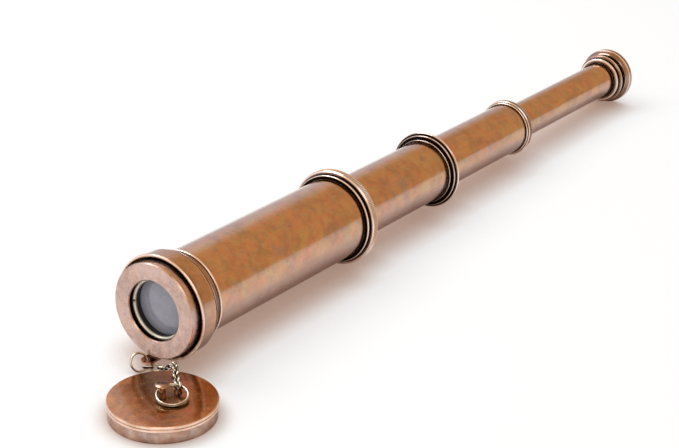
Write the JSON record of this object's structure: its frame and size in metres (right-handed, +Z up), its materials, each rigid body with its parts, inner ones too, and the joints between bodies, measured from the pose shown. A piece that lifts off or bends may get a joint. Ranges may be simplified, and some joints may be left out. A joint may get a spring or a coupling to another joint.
{
  "type": "spyglass",
  "caption": "Hand-held draw-tube spyglass of aged brass, drawn out and lying down, with its slip-on lens cap on a chain.",
  "frame": {"origin": "centre of the bottom of the bounding box of the part as it lies, on the surface that it lies on", "axes": "+Z up from the surface; +X along the tubes, seen from above, from the objective towards the eyepiece; +Y to the side away from the lens cap. The optical axis falls towards the eye by 1.64 degrees, because the tubes rest on the knurled collar and the eyepiece flange."},
  "size_m": [0.496, 0.0806, 0.0546],
  "materials": {
    "barrel_brass": "aged lacquered brass, copper brown, mottled",
    "draw_brass": "aged brass polished by sliding, with patina",
    "collar_brass": "aged brass with bright worn edges and dark grooves",
    "bezel_brass": "satin pinkish brass face with dark stains",
    "cap_brass": "aged brass with a bright rim",
    "inner_brass": "plain turned brass",
    "ring_metal": "pale turned ring",
    "chain_metal": "dark antique bronze wire with bright rubbed edges",
    "black_stop": "matt black",
    "objective_glass": "polished lens",
    "lens_glass": "polished lens"
  },
  "bodies": {
    "barrel": {"objective_cell": "bezel_brass", "objective_crown": "objective_glass", "objective_flint": "objective_glass", "objective_ring": "ring_metal", "front_collar": "barrel_brass", "barrel_tube": "barrel_brass", "chain_lug": "barrel_brass", "collar_1": "collar_brass", "guide_bush_1": "inner_brass"},
    "draw_1": {"draw_1_tube": "draw_brass", "draw_1_stop": "inner_brass", "collar_2": "collar_brass", "guide_bush_2": "inner_brass"},
    "draw_2": {"draw_2_tube": "draw_brass", "draw_2_stop": "inner_brass", "collar_3": "collar_brass", "guide_bush_3": "inner_brass"},
    "draw_3": {"draw_3_tube": "draw_brass", "draw_3_stop": "inner_brass", "erector_tube": "inner_brass", "erector_lens_front": "lens_glass", "erector_stop": "black_stop", "erector_lens_back": "lens_glass", "eyepiece_tube": "inner_brass", "field_lens": "lens_glass", "field_stop": "black_stop", "eye_lens": "lens_glass", "eyecup": "collar_brass"},
    "jump_ring": {"jump_ring": "chain_metal"},
    "link_1": {"link_1": "chain_metal"},
    "link_2": {"link_2": "chain_metal"},
    "link_3": {"link_3": "chain_metal"},
    "link_4": {"link_4": "chain_metal"},
    "link_5": {"link_5": "chain_metal"},
    "link_6": {"link_6": "chain_metal"},
    "link_7": {"link_7": "chain_metal"},
    "link_8": {"link_8": "chain_metal"},
    "link_9": {"link_9": "chain_metal"},
    "link_10": {"link_10": "chain_metal"},
    "link_11": {"link_11": "chain_metal"},
    "link_12": {"link_12": "chain_metal"},
    "link_13": {"link_13": "chain_metal"},
    "link_14": {"link_14": "chain_metal"},
    "split_ring": {"split_ring": "chain_metal"},
    "cap": {"lens_cap": "cap_brass", "cap_post": "cap_brass"}
  },
  "joints": [
    {"name": "draw_1_slide", "type": "slide", "parent": "barrel", "child": "draw_1", "axis": [0.9996, 0, -0.0286], "range_m": [-0.0791, 0]},
    {"name": "draw_2_slide", "type": "slide", "parent": "draw_1", "child": "draw_2", "axis": [0.9996, 0, -0.0286], "range_m": [-0.0826, 0]},
    {"name": "draw_3_slide", "type": "slide", "parent": "draw_2", "child": "draw_3", "axis": [0.9996, 0, -0.0286], "range_m": [-0.1093, 0]},
    {"name": "jump_ring_turn", "type": "hinge", "parent": "barrel", "child": "jump_ring", "pos_m": [-0.19564, 0.01682, 0.00395], "axis": [-0.2473, -0.3739, -0.8939], "range_deg": [-16, 0]},
    {"name": "link_1_turn", "type": "hinge", "parent": "jump_ring", "child": "link_1", "pos_m": [-0.19732, 0.01618, 0.00154], "axis": [0.7987, 0.0215, 0.6014], "range_deg": [0, 30]},
    {"name": "link_2_turn", "type": "hinge", "parent": "link_1", "child": "link_2", "pos_m": [-0.19556, 0.0136, 0.00158], "axis": [0.5881, 0.3926, -0.7071], "range_deg": [-4, 30]},
    {"name": "link_3_turn", "type": "hinge", "parent": "link_2", "child": "link_3", "pos_m": [-0.19423, 0.01047, 0.00162], "axis": [-0.6402, -0.3004, -0.7071], "range_deg": [-30, 30]},
    {"name": "link_4_turn", "type": "hinge", "parent": "link_3", "child": "link_4", "pos_m": [-0.19372, 0.00716, 0.00237], "axis": [-0.7201, 0.0016, 0.6938], "range_deg": [-30, 12]},
    {"name": "link_5_turn", "type": "hinge", "parent": "link_4", "child": "link_5", "pos_m": [-0.19412, 0.00424, 0.00416], "axis": [-0.7341, -0.2779, -0.6195], "range_deg": [-30, 30]},
    {"name": "link_6_turn", "type": "hinge", "parent": "link_5", "child": "link_6", "pos_m": [-0.19516, 0.00184, 0.00636], "axis": [-0.5038, 0.6652, 0.5511], "range_deg": [-30, 30]},
    {"name": "link_7_turn", "type": "hinge", "parent": "link_6", "child": "link_7", "pos_m": [-0.19675, -0.0003, 0.00849], "axis": [0.8337, -0.0363, 0.5511], "range_deg": [-30, 30]},
    {"name": "link_8_turn", "type": "hinge", "parent": "link_7", "child": "link_8", "pos_m": [-0.19892, -0.00242, 0.01006], "axis": [-0.268, 0.7378, 0.6195], "range_deg": [-30, 30]},
    {"name": "link_9_turn", "type": "hinge", "parent": "link_8", "child": "link_9", "pos_m": [-0.20146, -0.00467, 0.01056], "axis": [0.5745, -0.4343, 0.6938], "range_deg": [-30, 30]},
    {"name": "link_10_turn", "type": "hinge", "parent": "link_9", "child": "link_10", "pos_m": [-0.20399, -0.00695, 0.01046], "axis": [0.4731, -0.5255, -0.7071], "range_deg": [-30, 4]},
    {"name": "link_11_turn", "type": "hinge", "parent": "link_10", "child": "link_11", "pos_m": [-0.20652, -0.00923, 0.01046], "axis": [-0.4731, 0.5255, -0.7071], "range_deg": [-4, 30]},
    {"name": "link_12_turn", "type": "hinge", "parent": "link_11", "child": "link_12", "pos_m": [-0.20899, -0.01157, 0.01046], "axis": [0.4845, -0.515, -0.7071], "range_deg": [-30, 0]},
    {"name": "link_13_turn", "type": "hinge", "parent": "link_12", "child": "link_13", "pos_m": [-0.21132, -0.01402, 0.01084], "axis": [0.4767, -0.3511, 0.806], "range_deg": [-30, 0]},
    {"name": "link_14_turn", "type": "hinge", "parent": "link_13", "child": "link_14", "pos_m": [-0.2135, -0.01654, 0.0115], "axis": [0.6717, -0.6674, -0.3214], "range_deg": [-30, 0]},
    {"name": "split_ring_turn", "type": "hinge", "parent": "link_14", "child": "split_ring", "pos_m": [-0.21567, -0.01915, 0.01178], "axis": [0.1945, -0.0384, 0.9802], "range_deg": [-16, 4]},
    {"name": "cap_turn", "type": "hinge", "parent": "split_ring", "child": "cap", "pos_m": [-0.22326, -0.01561, 0.0086], "axis": [0, 0, 1], "continuous": true}
  ]
}
